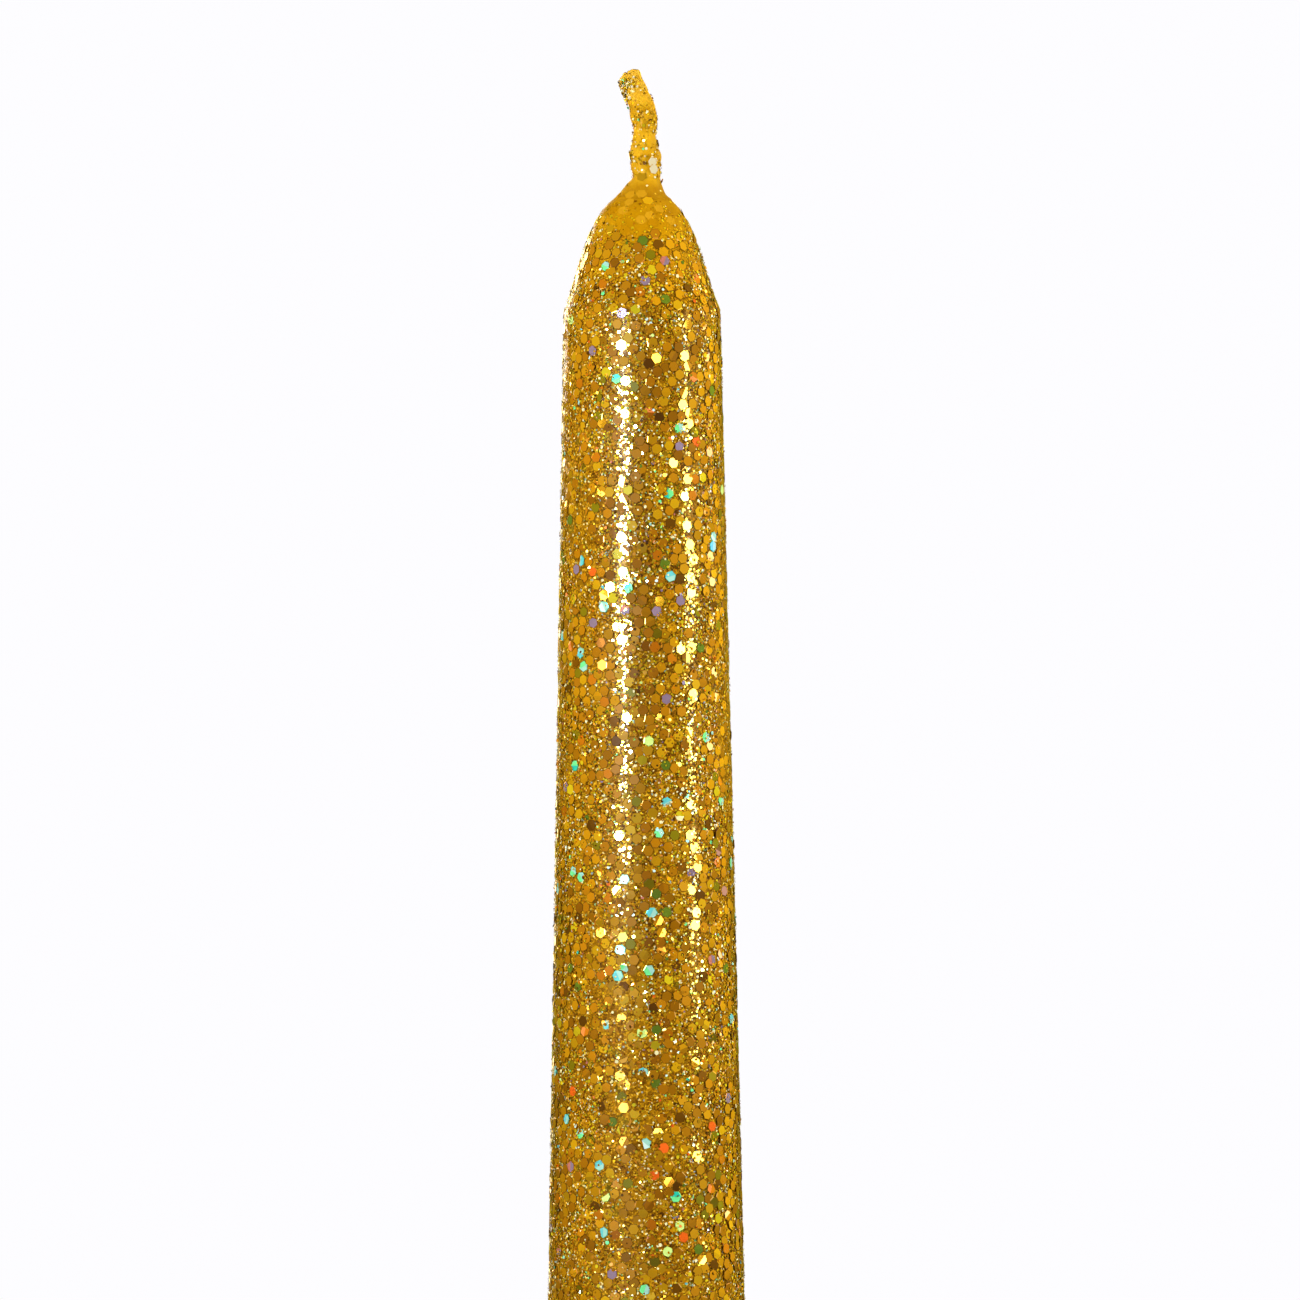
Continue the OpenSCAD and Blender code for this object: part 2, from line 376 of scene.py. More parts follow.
def make_ivory():
    """Cut face of the plain wax rod: pale, with faint saw rings and tiny bubbles."""
    m, n, p = material("ivory_wax")
    mm = coords_mm(n)
    soft = n.add("ShaderNodeTexNoise")
    soft.inputs["Scale"].default_value = 0.35
    soft.inputs["Detail"].default_value = 6.0
    n.link(mm, soft.inputs["Vector"])
    n.link(n.ramp(soft.outputs["Fac"], [
        (0.3, (0.70, 0.60, 0.42)), (0.55, (0.82, 0.73, 0.54)), (0.75, (0.88, 0.81, 0.65)),
    ]), p.inputs["Base Color"])
    wave = n.add("ShaderNodeTexWave", wave_type="BANDS", bands_direction="DIAGONAL")
    wave.inputs["Scale"].default_value = 0.8
    wave.inputs["Distortion"].default_value = 2.5
    n.link(mm, wave.inputs["Vector"])
    bub = n.add("ShaderNodeTexVoronoi", feature="F1")
    bub.inputs["Scale"].default_value = 1.3
    n.link(mm, bub.inputs["Vector"])
    h = n.math("ADD", n.math("MULTIPLY", wave.outputs["Fac"], 0.5), n.span(bub.outputs["Distance"], 0.05, 0.14, -0.6, 0.0))
    bump = n.add("ShaderNodeBump")
    bump.inputs["Strength"].default_value = 0.5
    bump.inputs["Distance"].default_value = 0.0001
    n.link(h, bump.inputs["Height"])
    n.link(bump.outputs[0], p.inputs["Normal"])
    n.link(n.span(soft.outputs["Fac"], 0.3, 0.7, 0.5, 0.66), p.inputs["Roughness"])
    p.inputs["Subsurface Weight"].default_value = 0.25
    p.inputs["Subsurface Radius"].default_value = (1.0, 0.7, 0.4)
    p.inputs["Subsurface Scale"].default_value = 0.001
    return m


def make_cotton():
    m, n, p = material("cotton")
    mm = coords_mm(n)
    wave = n.add("ShaderNodeTexWave", wave_type="BANDS", bands_direction="DIAGONAL")
    wave.inputs["Scale"].default_value = 2.4
    wave.inputs["Distortion"].default_value = 3.0
    wave.inputs["Detail"].default_value = 3.0
    n.link(mm, wave.inputs["Vector"])
    n.link(n.ramp(wave.outputs["Fac"], [
        (0.0, (0.52, 0.45, 0.33)), (0.5, (0.74, 0.69, 0.57)), (1.0, (0.84, 0.80, 0.70)),
    ]), p.inputs["Base Color"])
    bump = n.add("ShaderNodeBump")
    bump.inputs["Strength"].default_value = 0.6
    bump.inputs["Distance"].default_value = 0.00006
    n.link(wave.outputs["Fac"], bump.inputs["Height"])
    n.link(bump.outputs[0], p.inputs["Normal"])
    n.link(n.span(wave.outputs["Fac"], 0.0, 1.0, 0.6, 0.8), p.inputs["Roughness"])
    return m


# tones of the metallised film: name, colour, metallic, roughness, share among large flakes, share among fine
# grains, and the tones of a flake's second half and of its cut rim, the rim tones darker as painted shade along
# its edge. The holographic tones scatter light, so they are less metallic and stay bright at any tilt.
TONES = [
    ("gold", (0.88, 0.445, 0.042), 1.0, 0.02, 30, 16, "gold", "umber"),
    ("amber", (0.80, 0.356, 0.036), 1.0, 0.022, 20, 12, "amber", "umber"),
    ("honey", (0.94, 0.555, 0.062), 1.0, 0.02, 13, 14, "honey", "bronze"),
    ("ochre", (0.64, 0.278, 0.034), 1.0, 0.025, 13, 8, "ochre", "umber"),
    ("bronze", (0.43, 0.178, 0.025), 1.0, 0.03, 6, 9, "bronze", "umber"),
    ("umber", (0.22, 0.089, 0.018), 1.0, 0.04, 2.5, 11, "umber", "umber"),
    ("olive", (0.36, 0.30, 0.045), 1.0, 0.025, 3.5, 2, "olive", "umber"),
    ("leaf", (0.12, 0.185, 0.018), 0.8, 0.06, 1.6, 2, "leaf", "umber"),
    ("lemon", (0.98, 0.80, 0.18), 1.0, 0.02, 2.0, 12, "lemon", "bronze"),
    ("cream", (0.56, 0.51, 0.30), 0.45, 0.08, 0.3, 7, "lemon", "ochre"),
    ("orange", (0.86, 0.30, 0.045), 1.0, 0.022, 2.4, 4, "orange", "bronze"),
    ("coral", (0.60, 0.17, 0.040), 0.5, 0.10, 0.6, 0.8, "orange", "bronze"),
    ("cyan", (0.06, 0.29, 0.32), 0.3, 0.14, 0.28, 0.35, "sky", "teal"),
    ("sky", (0.18, 0.34, 0.30), 0.3, 0.14, 0.25, 0.8, "cyan", "teal"),
    ("mint", (0.083, 0.40, 0.15), 0.3, 0.14, 0.5, 0.9, "sky", "leaf"),
    ("teal", (0.004, 0.27, 0.20), 0.3, 0.18, 0.38, 0.3, "mint", "leaf"),
    ("lilac", (0.145, 0.095, 0.150), 0.4, 0.18, 1.0, 1.0, "lilac", "bronze"),
    ("rose", (0.33, 0.10, 0.08), 0.5, 0.18, 0.3, 0.4, "lilac", "bronze"),
    ("lime", (0.34, 0.46, 0.13), 0.3, 0.14, 0.40, 0.4, "lime", "leaf"),
    ("ice", (0.34, 0.45, 0.44), 0.3, 0.14, 0.2, 1.0, "sky", "teal"),
    ("ember", (0.55, 0.080, 0.004), 0.55, 0.12, 0.32, 0.5, "ember", "bronze"),
    # flakes seen through the wax of the tip
    ("veil", (0.258, 0.125, 0.0035), 0.0, 0.40, 0, 0, "veil", "veil"),
    ("veil_deep", (0.198, 0.086, 0.0007), 0.0, 0.40, 0, 0, "veil_deep", "veil_deep"),
    ("moss", (0.162, 0.086, 0.0026), 0.0, 0.40, 0, 0, "moss", "moss"),
    # pale flakes on the wick
    ("pearl", (0.270, 0.232, 0.140), 0.0, 0.40, 0, 0, "pearl", "veil"),
]
TONE_NAMES = [t[0] for t in TONES]
HALF = np.array([TONE_NAMES.index(t[6]) for t in TONES])
# darker tone for each flake's rim and sides: painted shade along its edge
RIM_SHADE = np.array([TONE_NAMES.index(t[7]) for t in TONES])


def make_flake_tones():
    out = []
    for name, colour, metal, rough, *_ in TONES:
        m, n, p = material("flake_" + name)
        p.inputs["Base Color"].default_value = (*colour, 1.0)
        p.inputs["Metallic"].default_value = metal
        p.inputs["Roughness"].default_value = rough
        if metal == 0.0:
            p.inputs["Specular IOR Level"].default_value = 0.0
        else:
            # metallised film pales a little at a glancing angle
            p.inputs["Specular Tint"].default_value = (1.0, 0.95, 0.70, 1.0)
        p.inputs["Coat Weight"].default_value = LACQUER if metal else 0.0
        p.inputs["Coat Roughness"].default_value = LACQUER_ROUGH
        p.inputs["Coat IOR"].default_value = 1.5
        out.append(m)
    return out


COAT = make_coat()
WICK_WAX = make_wick_wax()
SKIN_WAX = make_skin_wax()
IVORY = make_ivory()
COTTON = make_cotton()
FLAKE_TONES = make_flake_tones()
SHARE_LARGE = np.array([t[4] for t in TONES], float)
SHARE_LARGE /= SHARE_LARGE.sum()
SHARE_FINE = np.array([t[5] for t in TONES], float)
SHARE_FINE /= SHARE_FINE.sum()


def share(**parts):
    """Shares of the tones, from a few by name."""
    v = np.array([parts.get(t, 0.0) for t in TONE_NAMES], float)
    return v / v.sum()


# on the bare tip the flakes lie under wax and show only as paler gold; the grains there are gold
PALE = share(veil=5, veil_deep=2, honey=0.5, moss=0.5)
TIP_DUST = share(lemon=30, honey=26, gold=14, cream=10, bronze=10, ochre=6, mint=1.5, umber=2, rose=0.5)
# the finest dust between the flakes
SHARE_DUST = share(gold=14, amber=10, honey=15, ochre=9, bronze=11, umber=9, lemon=14, cream=9, orange=3, olive=3, mint=0.5,
                   sky=0.4, lilac=0.5, rose=0.3)
# dust caught on the wick: brown and gold along it, pale on the cut end
DUST = share(cream=15, lemon=10, honey=14, gold=6, veil=14, veil_deep=16, moss=14, bronze=6, umber=2, mint=1.5, cyan=0.5)
END_DUST = share(cream=20, pearl=20, lemon=14, honey=14, veil=8, veil_deep=10, moss=8, bronze=2, mint=2, cyan=0.5)
WICK_FINE = share(veil_deep=22, moss=16, bronze=4, honey=18, veil=22, pearl=10, cream=5, lemon=6)

# ---------------------------------------------------------------- the wax skin and the lacquer, turned shells
def lathe(name, line, sides=144):
    """A turned surface from [(r, z)] in mm, with small slow waves in its radius."""
    r = np.array([p[0] for p in line])
    z = np.array([p[1] for p in line])
    a = np.linspace(0, 2 * np.pi, sides, endpoint=False)
    wob = (
        0.022 * np.sin(3 * a[None, :] + z[:, None] * 0.043)
        + 0.018 * np.sin(2 * a[None, :] - z[:, None] * 0.091 + 1.3)
        + 0.014 * np.sin(5 * a[None, :] + z[:, None] * 0.21 + 0.4)
    ) * np.clip((r[:, None] - 2.0) / 4.0, 0, 1) * np.clip(z[:, None] / 4.0, 0, 1)
    rr = r[:, None] + wob
    co = np.stack([rr * np.cos(a), rr * np.sin(a), np.repeat(z[:, None], sides, 1)], -1).reshape(-1, 3) * MM
    q = grid_faces(len(line), sides)
    ob = new_mesh(name, co, q.ravel(), np.full(len(q), 4), smooth=True)
    return ob


z_body = np.concatenate([
    np.arange(0.55, 18.0, 1.2), np.arange(18.0, 228.0, 1.4), np.arange(228.0, 237.0, 0.22), np.arange(237.0, 238.71, 0.1),
])


def handover(z):
    """0 below the neck's joint line and 1 above it, where the wick's own wax takes over from the tip."""
    t = np.clip((z - 238.15) / 0.5, 0, 1)
    return t * t * (3 - 2 * t)


coat = lathe("glitter_lacquer", [(BUTT_R - 0.18, 0.5)] + [(float(radius(z) - 0.08 * handover(z)), float(z)) for z in z_body])
coat.data.materials.append(COAT)
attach(coat, "candle")
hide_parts("lacquer_film")

skin_line = [(9.9, 0.0), (10.05, 0.0), (10.2, 0.04), (10.38, 0.16), (10.52, 0.34), (BUTT_R - 0.18, 0.56)] + [
    (float(radius(z)) - 0.18, float(z)) for z in np.concatenate([np.arange(2.0, 228.0, 3.0), np.arange(228.0, 238.4, 0.4)])
]
skin = lathe("gold_wax_skin_shell", skin_line, 120)
skin.data.materials.append(SKIN_WAX)
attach(skin, "candle")
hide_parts("gold_wax_skin")


def wick_line(count):
    """Points, normals in the XZ plane and radii along the wick, evenly spaced, in mm."""
    w = np.array(WICK)
    d = np.concatenate([[0], np.cumsum(np.hypot(np.diff(w[:, 0]), np.diff(w[:, 1])))])
    s = np.linspace(0, d[-1], count)

    def smooth(col):
        v = np.interp(s, d, w[:, col])
        k = np.array([1, 2, 3, 2, 1]) / 9.0
        pad = np.pad(v, 2, mode="reflect", reflect_type="odd")
        return np.convolve(pad, k, mode="valid")

    x, z, r = smooth(0), smooth(1), smooth(2)
    tx, tz = np.gradient(x), np.gradient(z)
    l = np.hypot(tx, tz)
    return x, z, r, tx / l, tz / l


def wick_skin():
    rows, sides = 120, 56
    x, z, r, tx, tz = wick_line(rows)
    a = np.linspace(0, 2 * np.pi, sides, endpoint=False)
    A, S = np.meshgrid(a, np.arange(rows), indexing="xy")
    zz = z[:, None]
    free = np.clip((zz - 239.2) / 1.6, 0, 1)
    # lumps of wax and the faint lie of the plait under it
    bumps = (
        0.045 * np.sin(2 * A + zz * 1.9 + 0.6) + 0.030 * np.sin(3 * A - zz * 2.7 + 2.0)
        + 0.022 * np.sin(1 * A + zz * 4.6) + 0.016 * np.sin(5 * A + zz * 5.3 + 1.0)
        + 0.030 * np.sin(zz * 2.05 + np.sin(A) * 1.4)
    ) * free
    rr = r[:, None] + bumps - 0.08 * (1 - handover(zz))
    depth = 1.0 - 0.06 * free  # the plait is a little flatter from front to back
    cx = x[:, None] + rr * np.cos(A) * tz[:, None]
    cz = zz - rr * np.cos(A) * tx[:, None] * np.clip((zz - 238.6) / 1.0, 0, 1)
    cy = rr * np.sin(A) * depth
    co = [np.stack([cx, cy, cz], -1).reshape(-1, 3)]
    q = grid_faces(rows, sides)
    # cut end: rings that close in over uneven strand ends
    base = (rows - 1) * sides
    end = np.array([x[-1], 0.0, z[-1]])
    along = np.array([tx[-1], 0.0, tz[-1]])
    across = np.array([tz[-1], 0.0, -tx[-1]])
    loops = []
    steps = [(0.97, 0.10), (0.90, 0.20), (0.76, 0.28), (0.58, 0.33), (0.36, 0.36), (0.14, 0.37)]
    for k, (f, up) in enumerate(steps):
        rough = 0.10 * np.sin(3 * a + 1.1 + k * 0.5) + 0.07 * np.sin(5 * a - 0.7 * k) + 0.05 * np.sin(9 * a + 2 * k)
        lift = up + rough * (0.35 + 0.65 * (1 - f)) + 0.10 * np.cos(a) * f
        ring = (
            end[None, :] + across[None, :] * (rr[-1] * f * np.cos(a))[:, None]
            + np.array([0.0, 1.0, 0.0])[None, :] * (rr[-1] * f * 0.94 * np.sin(a))[:, None]
            + along[None, :] * lift[:, None]
        )
        loops.append(ring)
    co += loops
    tip = end + along * 0.40
    co.append(tip[None, :])
    co = np.concatenate(co) * MM
    q2 = grid_faces(len(steps) + 1, sides) + base
    last = base + len(steps) * sides
    top = len(co) - 1
    tri = np.stack([last + np.arange(sides), last + (np.arange(sides) + 1) % sides, np.full(sides, top)], -1)
    flat = np.concatenate([q.ravel(), q2.ravel(), tri.ravel()])
    sizes = np.concatenate([np.full(len(q) + len(q2), 4), np.full(len(tri), 3)])
    ob = new_mesh("wick_wax", co, flat, sizes, smooth=True)
    ob.data.materials.append(WICK_WAX)
    return ob


wick = wick_skin()
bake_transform(wick)
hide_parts("wick_end_wax")

# ---------------------------------------------------------------- glitter


def spread(count, gap, z_lo, z_hi, density):
    """Random places on the candle, no two closer than gap mm: heights and angles."""
    zs, an = [], []
    cell = gap
    taken = {}
    tries = int(count * 6)
    # heights drawn in proportion to the circumference
    zz = np.linspace(z_lo, z_hi, 3000)
    w = radius(zz) * density(zz)
    c = np.cumsum(w)
    c /= c[-1]
    z_all = np.interp(rng.random(tries), c, zz)
    a_all = rng.random(tries) * 2 * np.pi
    r_all = radius(z_all)
    p_all = np.stack([r_all * np.cos(a_all), r_all * np.sin(a_all), z_all], -1)
    keys = np.floor(p_all / cell).astype(int)
    g2 = gap * gap
    for i in range(tries):
        kx, ky, kz = keys[i]
        px, py, pz = p_all[i]
        ok = True
        for dx in (-1, 0, 1):
            for dy in (-1, 0, 1):
                for dz in (-1, 0, 1):
                    for qx, qy, qz in taken.get((kx + dx, ky + dy, kz + dz), ()):
                        if (px - qx) ** 2 + (py - qy) ** 2 + (pz - qz) ** 2 < g2:
                            ok = False
                            break
                    if not ok:
                        break
                if not ok:
                    break
            if not ok:
                break
        if not ok:
            continue
        taken.setdefault((kx, ky, kz), []).append((px, py, pz))
        zs.append(z_all[i])
        an.append(a_all[i])
        if len(zs) >= count:
            break
    return np.array(zs), np.array(an)


def frames(z, a):
    """Surface points and their frames: point, normal, round tangent, up tangent."""
    r = radius(z)
    e = slope_angle(z)
    pt = np.stack([r * np.cos(a), r * np.sin(a), z], -1)
    nr = np.stack([np.cos(e) * np.cos(a), np.cos(e) * np.sin(a), np.sin(e)], -1)
    tg = np.stack([-np.sin(a), np.cos(a), np.zeros_like(a)], -1)
    up = np.cross(nr, tg)
    return pt, nr, tg, up


def flakes(name, pt, nr, tg, up, size, lift, tilt_a, tilt_b, spin, tone, thick=None, sunk=None, corners=6):
    """Flakes as one mesh, hexagons unless told otherwise. With a thickness they are closed plates with a slight crease,
    otherwise single faces.
    Flakes marked as sunk lie under wax, so their rims keep the tone of the face; on the others the rim and sides take a
    darker tone, painted shade along the edge."""
    n = len(pt)
    sunk = np.zeros(n, bool) if sunk is None else sunk
    n2 = nr + tg * np.tan(tilt_a)[:, None] + up * np.tan(tilt_b)[:, None]
    n2 /= np.linalg.norm(n2, axis=1, keepdims=True)
    u = tg - n2 * (tg * n2).sum(1, keepdims=True)
    u /= np.linalg.norm(u, axis=1, keepdims=True)
    v = np.cross(n2, u)
    c, s = np.cos(spin)[:, None], np.sin(spin)[:, None]
    uu, vv = u * c + v * s, -u * s + v * c
    ctr = pt + nr * lift[:, None]
    rad = size / (2 * math.cos(math.pi / corners))
    ring = np.arange(corners) * 2 * np.pi / corners
    corner = (
        ctr[:, None, :]
        + uu[:, None, :] * (rad[:, None] * np.cos(ring))[:, :, None]
        + vv[:, None, :] * (rad[:, None] * np.sin(ring))[:, :, None]
    )
    if thick is None:
        co = corner.reshape(-1, 3) * MM
        f = np.arange(n * corners)
        ob = new_mesh(name, co, f, np.full(n, corners), tone)
    else:
        # the plate is creased a little across its middle, and its cut rim turns down
        crease = rng.normal(0, 1, n) * np.where(rng.random(n) < 0.16, 0.022, 0.004)
        drop = np.array([0, 1, 1, 0, 1, 1], float)[None, :] * (rad * 0.866 * np.abs(crease))[:, None]
        outer = corner - n2[:, None, :] * (drop[:, :, None] + 0.012)
        top = ctr[:, None, :] + (corner - ctr[:, None, :]) * 0.915 - n2[:, None, :] * (drop * 0.915)[:, :, None]
        low = outer - n2[:, None, :] * thick
        co = np.concatenate([top, outer, low], 1).reshape(-1, 3) * MM
        b = (np.arange(n) * 18)[:, None]
        t1 = b + np.array([0, 1, 2, 3])
        t2 = b + np.array([3, 4, 5, 0])
        l1 = b + np.array([15, 14, 13, 12])
        l2 = b + np.array([12, 17, 16, 15])
        rims = [b + np.array([k, 6 + k, 6 + (k + 1) % 6, (k + 1) % 6]) for k in range(6)]
        sides = [b + np.array([6 + k, 12 + k, 12 + (k + 1) % 6, 6 + (k + 1) % 6]) for k in range(6)]
        f = np.stack([t1, t2, l1, l2, *rims, *sides], 1)
        # rim and side faces take the darker rim tone, painted shade along the edge; flakes sunk under wax keep the face
        # tone
        rim_shade = np.where(sunk, tone, RIM_SHADE[tone])
        slot = np.stack([tone, HALF[tone], tone, tone] + [rim_shade] * 12, 1)
        ob = new_mesh(name, co, f.ravel(), np.full(n * 16, 4), slot.ravel())
    for m in FLAKE_TONES:
        ob.data.materials.append(m)
    return ob


PATCH = rng.normal(0, 1, (136, 28))


def gather(z, a):
    """0 to 1: how far the fine grains have gathered at a place and crowd out the large flakes, in patches a few mm across."""
    i = np.asarray(z) / 1.8
    j = (np.asarray(a) / (2 * np.pi)) % 1.0 * PATCH.shape[1]
    i0, j0 = np.floor(i).astype(int), np.floor(j).astype(int)
    u, v = i - i0, j - j0
    u, v = u * u * (3 - 2 * u), v * v * (3 - 2 * v)
    j0 = j0 % PATCH.shape[1]
    j1 = (j0 + 1) % PATCH.shape[1]
    low = PATCH[i0, j0] * (1 - v) + PATCH[i0, j1] * v
    high = PATCH[i0 + 1, j0] * (1 - v) + PATCH[i0 + 1, j1] * v
    return np.clip(0.40 + 0.50 * (low * (1 - u) + high * u), 0, 1)


def tip_density(z):
    return np.interp(z, [0.0, 230.0, 232.0, 234.5, 235.5, 236.5, 238.2], [1.0, 1.0, 0.72, 0.56, 0.36, 0.26, 0.26])


# coloured flakes that stand out: degrees round from the photo's camera, positive to the right, height in mm, tone
STAND_OUT = [
    (-37, 233.3, "mint"), (0, 231.5, "lilac"), (0, 235.1, "leaf"), (10, 234.7, "umber"), (26, 232.9, "rose"),
    (9, 232.8, "lemon"), (50, 231.8, "coral"), (17, 230.3, "leaf"), (-21, 232.8, "bronze"), (3, 228.6, "lemon"),
    (-43, 201.2, "cyan"), (-25, 204.6, "ice"), (-47, 199.7, "mint"), (-48, 191.2, "teal"), (48, 194.2, "mint"),
    (-5, 206.7, "teal"), (14, 188.0, "cyan"), (-61, 201.0, "coral"), (-39, 203.3, "lilac"), (18, 196.4, "lilac"),
    (11, 207.8, "leaf"), (13, 190.9, "leaf"), (-25, 172.8, "mint"), (3, 174.5, "mint"), (15, 174.0, "lemon"),
    (-2, 165.6, "cyan"), (-40, 161.0, "mint"), (-2, 160.4, "ice"), (8, 160.3, "ember"), (9, 157.2, "ember"),
    (17, 156.2, "teal"), (-26, 152.2, "cyan"), (15, 152.8, "lime"), (16, 151.5, "lime"), (23, 152.2, "ember"),
    (-2, 148.6, "mint"),
]


def body_flakes():
    z, a = spread(12400, 0.70, 0.9, 237.7, tip_density)
    keep = rng.random(len(z)) > 0.56 * gather(z, a)
    z, a = z[keep], a[keep]
    n = len(z)
    pt, nr, tg, up = frames(z, a)
    # most lie flat in the lacquer; a fifth lean a little, and about one in ten stands askew
    lean = rng.random(n)
    sd = np.radians(np.where(lean < 0.10, 6.5, np.where(lean < 0.28, 3.0, 1.15)))
    most = math.radians(10.0)
    tilt_a = np.clip(rng.normal(0, 1, n) * sd, -most, most)
    tilt_b = np.clip(rng.normal(0, 0.85, n) * sd, -most, most)
    size = 0.85 * np.clip(rng.normal(1.0, 0.03, n), 0.9, 1.08)
    bare = z > 235.6
    lift = np.where(bare, rng.uniform(0.012, 0.024, n), rng.uniform(0.035, 0.07, n))
    tone = np.where(bare, rng.choice(len(TONES), n, p=PALE), rng.choice(len(TONES), n, p=SHARE_LARGE))
    spin = rng.random(n) * np.pi
    for deg, zc, name in STAND_OUT:
        ac = math.radians(deg - 90)
        away = np.hypot(z - zc, radius(zc) * np.angle(np.exp(1j * (a - ac))))
        i = int(np.argmin(away))
        tone[i] = TONE_NAMES.index(name)
    made = []
    third = np.arange(n) % 2
    for k in range(2):
        s = third == k
        ob = flakes(f"glitter_flakes_{'ab'[k]}", pt[s], nr[s], tg[s], up[s], size[s], lift[s], tilt_a[s], tilt_b[s], spin[s], tone[s],
                    thick=0.025, sunk=bare[s])
        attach(ob, "candle")
        made.append(ob)
    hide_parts("glitter_flakes")
    return made


def fine_grains(name, count, pieces, corners, width, shares, lean, lean_steep):
    """Grains between the large flakes, and some on top of them where they gather: hexagons, or cut squares for the dust."""
    zz = np.linspace(0.8, 238.3, 3000)
    w = radius(zz) * np.interp(zz, [0.0, 230.0, 232.0, 235.0, 236.0, 237.0, 238.3], [1.0, 1.0, 1.25, 1.15, 0.5, 0.26, 0.14])
    c = np.cumsum(w)
    c /= c[-1]
    z = np.interp(rng.random(count * 3), c, zz)
    a = rng.random(count * 3) * 2 * np.pi
    keep = rng.random(count * 3) < (0.6 + 1.2 * gather(z, a)) / 1.8
    z, a = z[keep][:count], a[keep][:count]
    count = len(z)
    pt, nr, tg, up = frames(z, a)
    # where they gather many lie on top of the large flakes, and those lean further
    on_top = rng.random(count) < 0.04 + 0.32 * gather(z, a)
    steep = rng.random(count) < 0.22
    sd = np.radians(np.where(steep, lean_steep, lean) * np.where(on_top, 1.5, 1.0))
    tilt_a, tilt_b = rng.normal(0, 1, count) * sd, rng.normal(0, 0.75, count) * sd
    size = width * np.exp(rng.normal(0, 0.16, count))
    lift = np.where(on_top, rng.uniform(0.075, 0.105, count), rng.uniform(0.0, 0.03, count))
    tone = np.where(z > 235.4, rng.choice(len(TONES), count, p=TIP_DUST), rng.choice(len(TONES), count, p=shares))
    spin = rng.random(count) * np.pi
    part = np.arange(count) % pieces
    for k in range(pieces):
        s = part == k
        ob = flakes(f"{name}_{'abcdef'[k]}", pt[s], nr[s], tg[s], up[s], size[s], lift[s], tilt_a[s], tilt_b[s], spin[s], tone[s], corners=corners)
        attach(ob, "candle")


